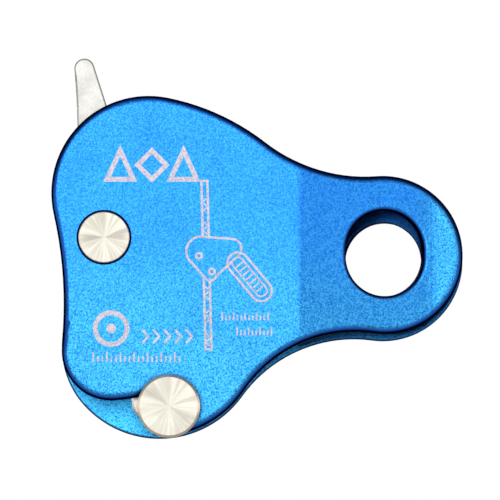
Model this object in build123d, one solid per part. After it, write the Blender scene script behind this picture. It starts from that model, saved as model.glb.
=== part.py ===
from build123d import *

import math
import os

# Rope-grab ascender, millimetres. X runs from the cam to the carabiner eye, Z up the rope, and the
# pins lie along Y with the swing plate at the front (-Y). The origin is the middle of the round eye
# in the rear plate, half way through that plate's wall.

# Side plates
PLATE_T = 4.0
PLATE_GAP = 15.0
EAR_GAP = 1.0
BEND_START_X = -22.7
BEND_END_X = 12.1
BEND_INNER_R = 4.0
RIM_R = 1.9
INNER_RIM_R = 0.6
EYE_R = 10.5
EYE_RIM_R = 1.2
EYE_INNER_RIM_R = 0.4
FRONT_EYE_Z = 2.0
FRONT_EYE_HALF_HEIGHT = 11.4

# Plate outline, as circles (x, z, r): the ear, the shoulders and the blends between them
FRONT_EAR = (0.0, 1.6, 21.0)
REAR_EAR = (0.0, 0.1, 21.0)
CAM_SHOULDER = (-62.4, 17.8, 25.8)
POST_SHOULDER = (-59.6, -19.6, 27.1)
BACK_R = 62.0
BACK_ANGLE = 78.7
EAR_BLEND_TOP_R = 42.0
EAR_BLEND_BOTTOM_R = 36.0
WAIST_R = 110.0
REAR_HEEL_R = 23.0
REAR_HEEL_ANGLE = 222.0
LOBE_R = 13.1
LOBE_ANGLE = 273.6
HOOK_CORNER_R = 1.6
HOOK_FACE_X = -61.6

# Pins
CAM_X, CAM_Z = -74.2, 5.9
POST_X, POST_Z = -57.0, -39.0
AXLE_R = 4.0
AXLE_HEAD_R = 6.75
AXLE_HEAD_PROUD = 0.7
AXLE_HEAD_CHAMFER = 0.2
AXLE_TAIL_R = 6.0
POST_HEAD_R = 8.28
POST_HEAD_T = 2.6
POST_HEAD_CHAMFER = 0.55
POST_NECK_R = 4.4
POST_SHANK_R = 3.2
POST_TAIL_R = 5.4
SLEEVE_R = 4.15
TAIL_HEIGHT = 1.5
PRESS_PLAY = 0.02
SHAFT_PLAY = 0.04
NECK_PLAY = 0.3
FACE_PLAY = 0.15

# Washers
THRUST_R = 8.0
THRUST_T = 0.5
POST_WASHER_R = 6.2
POST_WASHER_T = 0.5
AXLE_REAR_WASHER_R = 8.0
POST_REAR_WASHER_R = 6.6
REAR_WASHER_T = 1.0

# Seat and bush of the axle head in the front plate
SEAT_R = 7.3
SEAT_DEPTH = 1.7
BUSH_R = 5.2
BUSH_FLANGE_R = 6.5
BUSH_FLANGE_T = 0.5
SWING_WASHER_R = 6.6
SWING_WASHER_T = 0.3

# Lever, cam and spring, stacked on the axle from the front
LEVER_T = 2.2
CAM_T = 7.2
CAM_TRAVEL = 26.0
CAM_BUSH_R = 5.2
CAM_BOSS_R = 6.1
CAM_HUB = (-73.0, 5.5, 10.8)
CAM_TOE = (-64.1, -38.5, 2.65)
CAM_EDGE_CHAMFER = 0.5
ROPE_FACE_R = 120.0
CAM_BACK_R = 70.0
TOOTH_PITCH = 2.6
TOOTH_DEPTH = 0.9
TOOTH_COUNT = 8
TAB_TIP = (-79.5, 51.1, 2.65)
TAB_ROOT = (-70.9, 3.5, 9.0)
TAB_HUB_R = 8.3
TAB_LEFT_R = 230.0
TAB_RIM_R = 0.5
RIVET_R = 1.5
RIVET_HEAD_R = 2.4
RIVET_HEAD_T = 0.9
RIVET_RADIUS = 7.9
RIVET_ANGLES = (-14.0, 84.0)
STOP_PIN_R = 1.5
STOP_RADIUS = 13.0
STOP_ANGLE = -80.0
STOP_SLOT_DEPTH = 4.6
STOP_SEAT_DEPTH = 2.5
STOP_PLAY = 0.3
WIRE_R = 0.6
LEG_BEND_R = 0.9
COIL_R = 7.0
COIL_PITCH = 1.24
COIL_TURNS = 2
CAM_LEG_LENGTH = 4.0
CAM_LEG_DEPTH = 1.4
PIN_LEG_LENGTH = 12.0
LEG_ANGLE = -11.0

# Stations along Y, worked out from the sizes above
HALF_GAP = PLATE_GAP / 2
EAR_DROP = (PLATE_GAP - EAR_GAP) / 2
SLOPE = math.atan2(EAR_DROP, BEND_END_X - BEND_START_X)
EYE_WALL = HALF_GAP + EAR_DROP * BEND_START_X / (BEND_END_X - BEND_START_X)
MID_Y = -(EYE_WALL + PLATE_T / 2 / math.cos(SLOPE))
FRONT_IN = MID_Y - HALF_GAP
FRONT_OUT = FRONT_IN - PLATE_T
REAR_IN = MID_Y + HALF_GAP
REAR_OUT = REAR_IN + PLATE_T
FRONT_WASHER_Y = FRONT_IN + FACE_PLAY
LEVER_Y = FRONT_WASHER_Y + THRUST_T + FACE_PLAY
CAM_Y = LEVER_Y + LEVER_T
CAM_REAR_Y = CAM_Y + CAM_T
REAR_WASHER_Y = REAR_IN - THRUST_T
BOSS_END_Y = REAR_WASHER_Y - FACE_PLAY
SLEEVE_START_Y = FRONT_IN + FACE_PLAY + POST_WASHER_T
SLEEVE_END_Y = REAR_IN - POST_WASHER_T
FRONT, REAR = -1, 1
REACH = 200.0
TOUCH = 1e-3


# Outlines made of circles that touch

def along(start, angle, distance):
    """Point at a distance from a start point, in the direction of an angle in degrees."""
    turn = math.radians(angle)
    return start[0] + distance * math.cos(turn), start[1] + distance * math.sin(turn)


def meeting_centre(first, first_gap, second, second_gap, left):
    """Centre at one distance from each of two points, on the left or right of first to second."""
    dx, dz = second[0] - first[0], second[1] - first[1]
    span = math.hypot(dx, dz)
    run = (first_gap**2 - second_gap**2 + span**2) / (2 * span)
    rise = math.sqrt(first_gap**2 - run**2) * (1 if left else -1)
    return first[0] + (run * dx - rise * dz) / span, first[1] + (run * dz + rise * dx) / span


def hollow(first, second, radius, left):
    """Inward arc of a given radius that touches two outward circles from outside."""
    centre = meeting_centre(first, first[2] + radius, second, second[2] + radius, left)
    return *centre, -radius


def belly(first, second, radius, left):
    """Outward arc of a given radius that holds two smaller outward circles inside it."""
    centre = meeting_centre(first, radius - first[2], second, radius - second[2], left)
    return *centre, radius


def tangent_ends(first, second):
    """Ends of the straight tangent between two circles, which coincide where the circles touch."""
    dx, dz = second[0] - first[0], second[1] - first[1]
    lean = (second[2] - first[2]) / math.hypot(dx, dz)
    heading = math.degrees(math.atan2(dz, dx) - math.asin(max(-1.0, min(1.0, lean))))
    leave, arrive = along(first, heading - 90, first[2]), along(second, heading - 90, second[2])
    return (leave, leave) if math.dist(leave, arrive) < TOUCH else (leave, arrive)


def ring_of_arcs(circles):
    """Closed face in the XZ plane round circles listed anticlockwise; a negative radius is a hollow."""
    joins = [tangent_ends(a, b) for a, b in zip(circles, circles[1:] + circles[:1])]
    edges = []
    for index, (x, z, r) in enumerate(circles):
        start, (end, next_start) = joins[index - 1][1], joins[index]
        from_angle = math.degrees(math.atan2(start[1] - z, start[0] - x))
        to_angle = math.degrees(math.atan2(end[1] - z, end[0] - x))
        sweep = (to_angle - from_angle) % 360 if r > 0 else -((from_angle - to_angle) % 360)
        middle = along((x, z), from_angle + sweep / 2, abs(r))
        edges.append(ThreePointArc(start, middle, end))
        if next_start != end:
            edges.append(Line(end, next_start))
    return Plane.XZ * make_face(Wire(edges))


def slab(face, near_y, far_y):
    """Solid of a face in the XZ plane between two stations along Y."""
    return Pos(0, far_y, 0) * extrude(face, far_y - near_y)


def rod(x, z, near_y, far_y, radius):
    """Solid round bar along Y."""
    return Pos(x, (near_y + far_y) / 2, z) * Rot(90, 0, 0) * Cylinder(radius, far_y - near_y)


def washer(x, z, near_y, far_y, outer, inner):
    """Flat ring along Y."""
    return rod(x, z, near_y, far_y, outer) - rod(x, z, near_y, far_y, inner)


def round_edges(solid, y, radius):
    """Round edges of one radius that lie at one station along Y."""
    rings = solid.edges().filter_by(GeomType.CIRCLE)
    return [e for e in rings if abs(e.arc_center.Y - y) < TOUCH and abs(e.radius - radius) < TOUCH]


# Side plates

def plate_circles(ear, lower_left):
    """Outline circles of a plate: ear, back, cam shoulder, waist, then its own lower left."""
    back_centre = along(CAM_SHOULDER, BACK_ANGLE + 180, BACK_R - CAM_SHOULDER[2])
    back = (*back_centre, BACK_R)
    top = hollow(back, ear, EAR_BLEND_TOP_R, left=True)
    waist = hollow(CAM_SHOULDER, lower_left[0], WAIST_R, left=False)
    bottom = hollow(POST_SHOULDER, ear, EAR_BLEND_BOTTOM_R, left=False)
    return [ear, top, back, CAM_SHOULDER, waist, *lower_left, POST_SHOULDER, bottom]


def rear_outline():
    """Rear plate outline, whose heel runs unbroken under the post."""
    centre = along(POST_SHOULDER, REAR_HEEL_ANGLE, POST_SHOULDER[2] - REAR_HEEL_R)
    return ring_of_arcs(plate_circles(REAR_EAR, [(*centre, REAR_HEEL_R)]))


def hook_radii():
    """Inner and outer radius, about the cam axle, of the slot that passes the post's neck."""
    pin_distance = math.hypot(POST_X - CAM_X, POST_Z - CAM_Z)
    half_width = POST_NECK_R + NECK_PLAY
    return pin_distance - half_width, pin_distance + half_width


def front_outline():
    """Front plate outline, cut back at the lower left to clear the post as the plate swings."""
    clear_r = hook_radii()[0] - FACE_PLAY
    pivot = (CAM_X, CAM_Z, clear_r)
    lobe = (*along(pivot, LOBE_ANGLE, clear_r - LOBE_R), LOBE_R)
    face_x = HOOK_FACE_X + HOOK_CORNER_R
    tip_z = POST_SHOULDER[1] - math.sqrt(
        (POST_SHOULDER[2] - HOOK_CORNER_R) ** 2 - (face_x - POST_SHOULDER[0]) ** 2
    )
    tip = (face_x, tip_z, HOOK_CORNER_R)
    inner_x = HOOK_FACE_X - HOOK_CORNER_R
    inner_z = CAM_Z - math.sqrt((clear_r + HOOK_CORNER_R) ** 2 - (inner_x - CAM_X) ** 2)
    corner = (inner_x, inner_z, -HOOK_CORNER_R)
    return ring_of_arcs(plate_circles(FRONT_EAR, [lobe, pivot, corner, tip]))


def bent_sheet(side):
    """Bent strip of plate, wide enough for the whole outline."""
    shift = PLATE_T * math.tan(SLOPE / 2)
    inner = [(-REACH, HALF_GAP), (BEND_START_X, HALF_GAP)]
    inner += [(BEND_END_X, HALF_GAP - EAR_DROP), (REACH, HALF_GAP - EAR_DROP)]
    outer = [(x + (shift if abs(x) < REACH else 0), y + PLATE_T) for x, y in inner]
    points = [(x, MID_Y + side * y) for x, y in inner + outer[::-1]]
    profile = make_face(Polyline(*points, close=True))
    radii = {
        inner[1]: BEND_INNER_R,
        outer[1]: BEND_INNER_R + PLATE_T,
        inner[2]: BEND_INNER_R + PLATE_T,
        outer[2]: BEND_INNER_R,
    }
    for (x, y), radius in radii.items():
        corner = profile.vertices().sort_by_distance((x, MID_Y + side * y, 0))[0]
        profile = fillet(corner, radius)
    return Pos(0, 0, -REACH / 2) * extrude(profile, REACH)


def skin_rim(solid, side, hole_z=None):
    """Edges round one face of a bent plate: its outline, or its eye hole where hole_z is given."""
    rim = []
    for face in solid.faces():
        if face.normal_at().Y * side < 0.9:
            continue
        for edge in face.edges():
            crease = edge.geom_type == GeomType.LINE and abs((edge % 0.5).Z) > 0.99
            middle = edge @ 0.5
            near_eye = math.hypot(middle.X, middle.Z - (hole_z or 0)) < 15
            if not crease and near_eye == (hole_z is not None):
                rim.append(edge)
    return rim


def eye_hole(side, eye_z, half_height):
    """Cutter of one plate's eye, which is punched square to the sloping sheet."""
    centre = (0, MID_Y * (1 - side * REAR), eye_z)
    across = (math.cos(SLOPE), -side * math.sin(SLOPE), 0)
    square_to_sheet = (math.sin(SLOPE), side * math.cos(SLOPE), 0)
    stretch = half_height - EYE_R
    eye = SlotCenterToCenter(2 * stretch, 2 * EYE_R, rotation=90) if stretch else Circle(EYE_R)
    return extrude(Plane(centre, x_dir=across, z_dir=square_to_sheet) * eye, PLATE_T, both=True)


def plate_blank(outline, side, eye_z, half_height):
    """Bent plate with rounded rims and its eye hole, before the pin holes are cut."""
    plate = slab(outline, FRONT_OUT - 1, REAR_OUT + 1) & bent_sheet(side)
    plate = fillet(skin_rim(plate, side), RIM_R)
    plate = fillet(skin_rim(plate, -side), INNER_RIM_R)
    plate -= eye_hole(side, eye_z, half_height)
    plate = fillet(skin_rim(plate, side, eye_z), EYE_RIM_R)
    return fillet(skin_rim(plate, -side, eye_z), EYE_INNER_RIM_R)


def stop_place():
    """Place of the stop pin, which is also the spring's anchor."""
    return along((CAM_X, CAM_Z), STOP_ANGLE, STOP_RADIUS)


def rear_plate():
    """Fixed side plate with the round carabiner eye, the pin holes and the stop pin's blind seat."""
    plate = plate_blank(rear_outline(), REAR, 0, EYE_R)
    plate -= rod(CAM_X, CAM_Z, REAR_IN - 1, REAR_OUT + 1, AXLE_R + PRESS_PLAY)
    plate -= rod(POST_X, POST_Z, REAR_IN - 1, REAR_OUT + 1, POST_SHANK_R + PRESS_PLAY)
    return plate - rod(*stop_place(), REAR_IN - 1, REAR_IN + STOP_SEAT_DEPTH, STOP_PIN_R + PRESS_PLAY)


def front_plate():
    """Swing plate with the seat of the axle head and the open slot that hooks the post's neck."""
    plate = plate_blank(front_outline(), FRONT, FRONT_EYE_Z, FRONT_EYE_HALF_HEIGHT)
    plate -= rod(CAM_X, CAM_Z, FRONT_OUT - 1, FRONT_OUT + SEAT_DEPTH, SEAT_R)
    plate -= rod(CAM_X, CAM_Z, FRONT_OUT, FRONT_IN + 1, BUSH_R + PRESS_PLAY)
    inner_r, outer_r = hook_radii()
    near_y, far_y = FRONT_OUT - 1, FRONT_IN + 1
    path = washer(CAM_X, CAM_Z, near_y, far_y, outer_r, inner_r)
    left_of_neck = Pos(POST_X - POST_HEAD_R, (near_y + far_y) / 2, POST_Z) * Box(
        2 * POST_HEAD_R, far_y - near_y, 4 * POST_HEAD_R
    )
    plate -= path & left_of_neck
    return plate - rod(POST_X, POST_Z, near_y, far_y, (outer_r - inner_r) / 2)


# Pins, bushes and washers

def domed_tail(x, z, start_y, radius):
    """Hammered rivet tail behind the rear plate."""
    tail = rod(x, z, start_y, start_y + TAIL_HEIGHT, radius)
    return fillet(round_edges(tail, start_y + TAIL_HEIGHT, radius), 0.9 * TAIL_HEIGHT)


def headed_disc(x, z, near_y, far_y, radius, bevel):
    """Round head whose front edge is bevelled."""
    head = rod(x, z, near_y, far_y, radius)
    return chamfer(round_edges(head, near_y, radius), bevel)


def cam_axle():
    """Axle of the cam and the swing plate: sunk round head, shaft and hammered tail."""
    head_y = FRONT_OUT - AXLE_HEAD_PROUD
    seat_y = FRONT_OUT + SEAT_DEPTH - BUSH_FLANGE_T - SWING_WASHER_T - FACE_PLAY
    tail_y = REAR_OUT + REAR_WASHER_T
    pin = headed_disc(CAM_X, CAM_Z, head_y, seat_y, AXLE_HEAD_R, AXLE_HEAD_CHAMFER)
    pin += rod(CAM_X, CAM_Z, seat_y, tail_y, AXLE_R)
    return pin + domed_tail(CAM_X, CAM_Z, tail_y, AXLE_TAIL_R)


def post_pin():
    """Post: big bevelled head, neck for the hook, slim shank and hammered tail."""
    head_y = FRONT_OUT - FACE_PLAY
    neck_end = FRONT_IN + FACE_PLAY
    tail_y = REAR_OUT + REAR_WASHER_T
    pin = headed_disc(POST_X, POST_Z, head_y - POST_HEAD_T, head_y, POST_HEAD_R, POST_HEAD_CHAMFER)
    pin += rod(POST_X, POST_Z, head_y, neck_end, POST_NECK_R)
    pin += rod(POST_X, POST_Z, neck_end, tail_y, POST_SHANK_R)
    return pin + domed_tail(POST_X, POST_Z, tail_y, POST_TAIL_R)


def post_sleeve():
    """Hard sleeve that the rope is squeezed against."""
    return washer(POST_X, POST_Z, SLEEVE_START_Y, SLEEVE_END_Y, SLEEVE_R, POST_SHANK_R + PRESS_PLAY)


def post_washer(near_y):
    """Washer at one end of the post sleeve."""
    return washer(
        POST_X, POST_Z, near_y, near_y + POST_WASHER_T, POST_WASHER_R, POST_SHANK_R + PRESS_PLAY
    )


def rear_washer(x, z, radius, shaft_r):
    """Washer between the rear plate and a hammered tail."""
    ring = washer(x, z, REAR_OUT, REAR_OUT + REAR_WASHER_T, radius, shaft_r + PRESS_PLAY)
    return chamfer(round_edges(ring, REAR_OUT + REAR_WASHER_T, radius), REAR_WASHER_T / 4)


def thrust_washer(near_y):
    """Low-friction washer at one side of the cam stack."""
    return washer(CAM_X, CAM_Z, near_y, near_y + THRUST_T, THRUST_R, AXLE_R + PRESS_PLAY)


def swing_bush():
    """Flanged bush pressed into the front plate, which turns on the axle."""
    floor_y = FRONT_OUT + SEAT_DEPTH
    bush = rod(CAM_X, CAM_Z, floor_y, FRONT_IN, BUSH_R)
    bush += rod(CAM_X, CAM_Z, floor_y - BUSH_FLANGE_T, floor_y, BUSH_FLANGE_R)
    return bush - rod(CAM_X, CAM_Z, FRONT_OUT, FRONT_IN + 1, AXLE_R + SHAFT_PLAY)


def swing_washer():
    """Thin spring-steel washer between the bush flange and the axle head."""
    far_y = FRONT_OUT + SEAT_DEPTH - BUSH_FLANGE_T
    return washer(CAM_X, CAM_Z, far_y - SWING_WASHER_T, far_y, SWING_WASHER_R, AXLE_R + SHAFT_PLAY)


def stop_pin():
    """Pin in the rear plate that ends the cam's travel and anchors the spring."""
    near_y = CAM_REAR_Y - STOP_SLOT_DEPTH + STOP_PLAY
    pin = rod(*stop_place(), near_y, REAR_IN + STOP_SEAT_DEPTH, STOP_PIN_R)
    return chamfer(round_edges(pin, near_y, STOP_PIN_R), STOP_PIN_R / 4)


# Cam, lever and spring

def arc_slot(radius, low_angle, high_angle, half_width, near_y, far_y):
    """Curved slot about the cam axle, with round ends centred at two angles."""
    slot = washer(CAM_X, CAM_Z, near_y, far_y, radius + half_width, radius - half_width)
    hub = (CAM_X, CAM_Z)
    wedge = [hub, along(hub, low_angle, 2 * radius), along(hub, high_angle, 2 * radius)]
    slot &= slab(Plane.XZ * make_face(Polyline(*wedge, close=True)), near_y, far_y)
    for angle in (low_angle, high_angle):
        slot += rod(*along(hub, angle, radius), near_y, far_y, half_width)
    return slot


def rope_face_teeth():
    """Cutters of the saw teeth across the cam's rope face, just above its toe."""
    toe = CAM_TOE
    face = belly(toe, CAM_HUB, ROPE_FACE_R, left=True)
    first = math.degrees(math.atan2(toe[1] - face[1], toe[0] - face[0]))
    step = math.degrees(TOOTH_PITCH / ROPE_FACE_R)
    cutters = []
    for index in range(1, TOOTH_COUNT + 1):
        low, high = first + index * step, first + (index + 1) * step
        root = along(face, high, ROPE_FACE_R - TOOTH_DEPTH)
        crest = along(face, low, ROPE_FACE_R)
        outside = along(face, high, ROPE_FACE_R + TOOTH_DEPTH)
        profile = Plane.XZ * make_face(Polyline(crest, root, outside, close=True))
        cutters.append(slab(profile, CAM_Y - 1, CAM_REAR_Y + 1))
    return cutters


def rivet_places():
    """Centres of the two rivets that join the lever to the cam."""
    return [along((CAM_X, CAM_Z), angle, RIVET_RADIUS) for angle in RIVET_ANGLES]


def rivet_rods(play):
    """The two countersunk rivets, or with some play the holes that take them."""
    rods = []
    for x, z in rivet_places():
        shank = rod(x, z, LEVER_Y, CAM_REAR_Y, RIVET_R + play)
        sink = Pos(x, LEVER_Y + RIVET_HEAD_T / 2, z) * Rot(90, 0, 0) * Cone(
            RIVET_R + play, RIVET_HEAD_R + play, RIVET_HEAD_T
        )
        rods.append(shank + sink)
    return rods


def rope_cam():
    """Toothed cam with its hub boss, the slot round the stop pin and the hole of the spring's leg."""
    face = belly(CAM_TOE, CAM_HUB, ROPE_FACE_R, left=True)
    back = hollow(CAM_HUB, CAM_TOE, CAM_BACK_R, left=False)
    cam = slab(ring_of_arcs([CAM_TOE, face, CAM_HUB, back]), CAM_Y, CAM_REAR_Y)
    rims = [e for e in cam.edges() if abs((e % 0.5).Y) < TOUCH]
    cam = chamfer(rims, CAM_EDGE_CHAMFER)
    cam += rod(CAM_X, CAM_Z, CAM_REAR_Y, BOSS_END_Y, CAM_BOSS_R)
    cam -= rod(CAM_X, CAM_Z, CAM_Y - 1, BOSS_END_Y + 1, CAM_BUSH_R + PRESS_PLAY)
    for cutter in [*rope_face_teeth(), *rivet_rods(PRESS_PLAY)]:
        cam -= cutter
    slot_floor = CAM_REAR_Y - STOP_SLOT_DEPTH
    half_width = STOP_PIN_R + STOP_PLAY
    cam -= arc_slot(
        STOP_RADIUS, STOP_ANGLE, STOP_ANGLE + CAM_TRAVEL, half_width, slot_floor, CAM_REAR_Y + 1
    )
    tip_radius, tip_angle = leg_tip()
    floor = CAM_REAR_Y - CAM_LEG_DEPTH - STOP_PLAY
    return cam - arc_slot(
        tip_radius, tip_angle, tip_angle + CAM_TRAVEL, WIRE_R + STOP_PLAY, floor, CAM_REAR_Y + 1
    )


def cam_bushing():
    """Plain bearing sleeve pressed through the lever and the cam."""
    return washer(CAM_X, CAM_Z, LEVER_Y, BOSS_END_Y, CAM_BUSH_R, AXLE_R + SHAFT_PLAY)


def release_lever():
    """Flat stamped lever, whose tapered tab stands out above the plates."""
    hub = (CAM_X, CAM_Z, TAB_HUB_R)
    left = hollow(TAB_TIP, hub, TAB_LEFT_R, left=False)
    lever = slab(ring_of_arcs([TAB_TIP, left, hub, TAB_ROOT]), LEVER_Y, CAM_Y)
    lever = fillet(lever.edges().filter_by(lambda e: abs((e @ 0.5).Y - LEVER_Y) < TOUCH), TAB_RIM_R)
    lever -= rod(CAM_X, CAM_Z, LEVER_Y - 1, CAM_Y + 1, CAM_BUSH_R + PRESS_PLAY)
    for cutter in rivet_rods(PRESS_PLAY):
        lever -= cutter
    return lever


def leg_tip():
    """Radius and angle, about the axle, of the spring leg's turned-in tip."""
    radius = math.hypot(COIL_R, CAM_LEG_LENGTH)
    return radius, LEG_ANGLE + math.degrees(math.atan2(CAM_LEG_LENGTH, COIL_R))


def coil_point(turns):
    """Point on the spring's coil after so many turns, in the coil's own frame."""
    angle = 2 * math.pi * turns
    return Vector(COIL_R * math.cos(angle), COIL_R * math.sin(angle), COIL_PITCH * turns)


def torsion_spring():
    """Closing spring round the cam's boss: one leg in the cam, the other on the stop pin."""
    height = COIL_PITCH * COIL_TURNS
    coil_y = REAR_WASHER_Y - FACE_PLAY - WIRE_R - height
    tip_z = CAM_REAR_Y - CAM_LEG_DEPTH - coil_y
    tip = Vector(COIL_R, -CAM_LEG_LENGTH, tip_z)
    bend_start = Vector(COIL_R, -CAM_LEG_LENGTH, -LEG_BEND_R)
    bend_end = Vector(COIL_R, LEG_BEND_R - CAM_LEG_LENGTH, 0)
    pin_end = coil_point(COIL_TURNS) + Vector(0, PIN_LEG_LENGTH, 0)
    run = [Line(tip, bend_start), TangentArc(bend_start, bend_end, tangent=(0, 0, 1))]
    run.append(Line(bend_end, coil_point(0)))
    for eighth in range(0, 8 * COIL_TURNS, 2):
        ends = coil_point(eighth / 8), coil_point((eighth + 2) / 8)
        run.append(ThreePointArc(ends[0], coil_point((eighth + 1) / 8), ends[1]))
    run.append(Line(coil_point(COIL_TURNS), pin_end))
    path = Wire(run)
    section = Plane(path @ 0, z_dir=path % 0) * Circle(WIRE_R)
    place = Pos(CAM_X, coil_y, CAM_Z) * Rot(0, -LEG_ANGLE, 0) * Rot(-90, 0, 0)
    return place * sweep(section, path)


PARTS = {
    "rear_plate": rear_plate,
    "front_plate": front_plate,
    "cam_axle": cam_axle,
    "swing_bush": swing_bush,
    "swing_washer": swing_washer,
    "axle_rear_washer": lambda: rear_washer(CAM_X, CAM_Z, AXLE_REAR_WASHER_R, AXLE_R),
    "front_thrust_washer": lambda: thrust_washer(FRONT_WASHER_Y),
    "rear_thrust_washer": lambda: thrust_washer(REAR_WASHER_Y),
    "rope_cam": rope_cam,
    "cam_bushing": cam_bushing,
    "release_lever": release_lever,
    "lever_rivets": lambda: Compound(rivet_rods(0)),
    "torsion_spring": torsion_spring,
    "stop_pin": stop_pin,
    "post_pin": post_pin,
    "post_sleeve": post_sleeve,
    "post_front_washer": lambda: post_washer(FRONT_IN + FACE_PLAY),
    "post_inner_washer": lambda: post_washer(SLEEVE_END_Y),
    "post_rear_washer": lambda: rear_washer(POST_X, POST_Z, POST_REAR_WASHER_R, POST_SHANK_R),
}


def main():
    """Build every piece and write it to its own file."""
    os.makedirs("parts", exist_ok=True)
    for name, build in PARTS.items():
        export_step(build(), f"parts/{name}.step")


main()
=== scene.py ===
"""Rope ascender with a swinging side plate: finishes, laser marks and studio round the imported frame."""

import logging
import math
from dataclasses import dataclass
from enum import Enum
from typing import ClassVar, Sequence

import bmesh
import bpy
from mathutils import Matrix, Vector


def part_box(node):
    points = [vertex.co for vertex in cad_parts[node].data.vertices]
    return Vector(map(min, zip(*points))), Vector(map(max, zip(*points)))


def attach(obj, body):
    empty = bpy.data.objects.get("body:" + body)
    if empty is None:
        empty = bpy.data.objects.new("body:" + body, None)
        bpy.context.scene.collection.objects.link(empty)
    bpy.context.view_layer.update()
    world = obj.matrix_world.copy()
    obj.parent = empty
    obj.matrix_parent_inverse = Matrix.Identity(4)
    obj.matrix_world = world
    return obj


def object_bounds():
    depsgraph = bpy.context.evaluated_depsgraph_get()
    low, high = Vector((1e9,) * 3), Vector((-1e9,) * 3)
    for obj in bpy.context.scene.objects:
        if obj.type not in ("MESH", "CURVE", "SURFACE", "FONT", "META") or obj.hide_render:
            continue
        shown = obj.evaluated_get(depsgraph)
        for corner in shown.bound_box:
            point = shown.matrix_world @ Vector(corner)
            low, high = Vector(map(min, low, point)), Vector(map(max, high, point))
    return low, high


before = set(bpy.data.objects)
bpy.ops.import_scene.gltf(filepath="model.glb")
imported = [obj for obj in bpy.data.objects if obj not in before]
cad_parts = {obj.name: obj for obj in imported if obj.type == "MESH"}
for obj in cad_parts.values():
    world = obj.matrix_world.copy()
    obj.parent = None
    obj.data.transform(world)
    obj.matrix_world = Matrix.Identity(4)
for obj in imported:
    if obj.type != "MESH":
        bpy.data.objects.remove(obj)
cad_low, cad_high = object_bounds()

MM = 0.001
log = logging.getLogger("ascender")

Point = tuple[float, float]
Colour = tuple[float, float, float]
Feed = float | Colour | bpy.types.NodeSocket


class Effect(Enum):
    """Surface effects that several finishes share, each one a node group."""

    BLAST = "blast_grain"
    SIDES = "side_shade"
    TURNED = "turned_face"
    WEAR = "edge_wear"
    HANDLING = "handling_marks"
    RECESS = "recess_shade"


class Slot(Enum):
    """Material slots of the record."""

    PLATE = "anodised_blue"


class Graph:
    """Lays and links the nodes of a material or of a node group."""

    def __init__(self, tree: bpy.types.NodeTree) -> None:
        """Starts on an empty tree.

        Args:
            tree: The node tree to fill. Nodes already in it are removed.
        """
        tree.nodes.clear()
        self.tree = tree

    def node(self, kind: str, **settings: object) -> bpy.types.Node:
        """Adds one node.

        Args:
            kind: The node's type without its Shader or Node prefix, or its full type.
            **settings: Attributes to set on it.

        Returns:
            The new node.
        """
        full = kind if kind.startswith(("Shader", "Node")) else "ShaderNode" + kind
        made = self.tree.nodes.new(full)
        for name, value in settings.items():
            setattr(made, name, value)
        return made

    def feed(self, socket: bpy.types.NodeSocket, value: Feed) -> None:
        """Links another socket into an input, or sets the input's own value."""
        if isinstance(value, bpy.types.NodeSocket):
            self.tree.links.new(value, socket)
        elif isinstance(value, tuple) and socket.type == "RGBA":
            socket.default_value = (*value, 1.0)
        else:
            socket.default_value = value

    def math(self, operation: str, *values: Feed) -> bpy.types.NodeSocket:
        """Adds a Math node.

        Args:
            operation: The node's operation, such as MULTIPLY.
            *values: Its inputs, in order.

        Returns:
            The node's result.
        """
        made = self.node("Math", operation=operation)
        for socket, value in zip(made.inputs, values):
            self.feed(socket, value)
        return made.outputs[0]

    def blend(self, share: Feed, first: Feed, second: Feed) -> bpy.types.NodeSocket:
        """Mixes two colours and returns the mix, which is the second where share is 1."""
        made = self.node("Mix", data_type="RGBA", clamp_factor=True)
        self.feed(made.inputs[0], share)
        self.feed(made.inputs[6], first)
        self.feed(made.inputs[7], second)
        return made.outputs[2]

    def shade(self, colour: Feed, brightness: Feed) -> bpy.types.NodeSocket:
        """Multiplies a colour by a brightness and returns the product."""
        made = self.node("VectorMath", operation="SCALE")
        self.feed(made.inputs[0], colour)
        self.feed(made.inputs["Scale"], brightness)
        return made.outputs[0]

    def spread(
        self, value: Feed, low: Feed, high: Feed, start: Feed = 0.0, end: Feed = 1.0
    ) -> bpy.types.NodeSocket:
        """Maps a value smoothly from one range to another.

        Args:
            value: The value to map.
            low: The value that becomes start.
            high: The value that becomes end.
            start: The result at low.
            end: The result at high.

        Returns:
            The mapped value, which stays between start and end.
        """
        made = self.node("MapRange", interpolation_type="SMOOTHSTEP")
        fed = {"Value": value, "From Min": low, "From Max": high, "To Min": start, "To Max": end}
        for name, given in fed.items():
            self.feed(made.inputs[name], given)
        return made.outputs["Result"]

    def place(self, stretch: Colour = (1.0, 1.0, 1.0)) -> bpy.types.NodeSocket:
        """Returns the surface point in the part's own frame, in millimetres, times the stretch."""
        source = self.node("TexCoord").outputs["Object"]
        made = self.node("VectorMath", operation="MULTIPLY")
        self.feed(made.inputs[0], source)
        self.feed(made.inputs[1], tuple(share / MM for share in stretch))
        return made.outputs[0]

    def along(self, axis: str) -> bpy.types.NodeSocket:
        """Returns the surface point's place along one of the part's axes, in millimetres."""
        made = self.node("SeparateXYZ")
        self.feed(made.inputs[0], self.place())
        return made.outputs[axis]

    def noise(
        self, place: bpy.types.NodeSocket, size: Feed, detail: float = 2.0
    ) -> bpy.types.NodeSocket:
        """Returns a noise value whose features are about size millimetres across."""
        made = self.node("TexNoise")
        self.feed(made.inputs["Vector"], place)
        self.feed(made.inputs["Scale"], self.math("DIVIDE", 1.0, size))
        made.inputs["Detail"].default_value = detail
        return made.outputs["Fac"]

    def effect(self, effect: Effect, **values: Feed) -> bpy.types.Node:
        """Places a shared effect in this tree.

        Args:
            effect: Which effect.
            **values: Its inputs by name, with underscores for spaces.

        Returns:
            The group node, whose outputs the finish reads.
        """
        made = self.node("Group", node_tree=EffectShelf.group(effect))
        for name, value in values.items():
            self.feed(made.inputs[name.replace("_", " ")], value)
        return made


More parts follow.
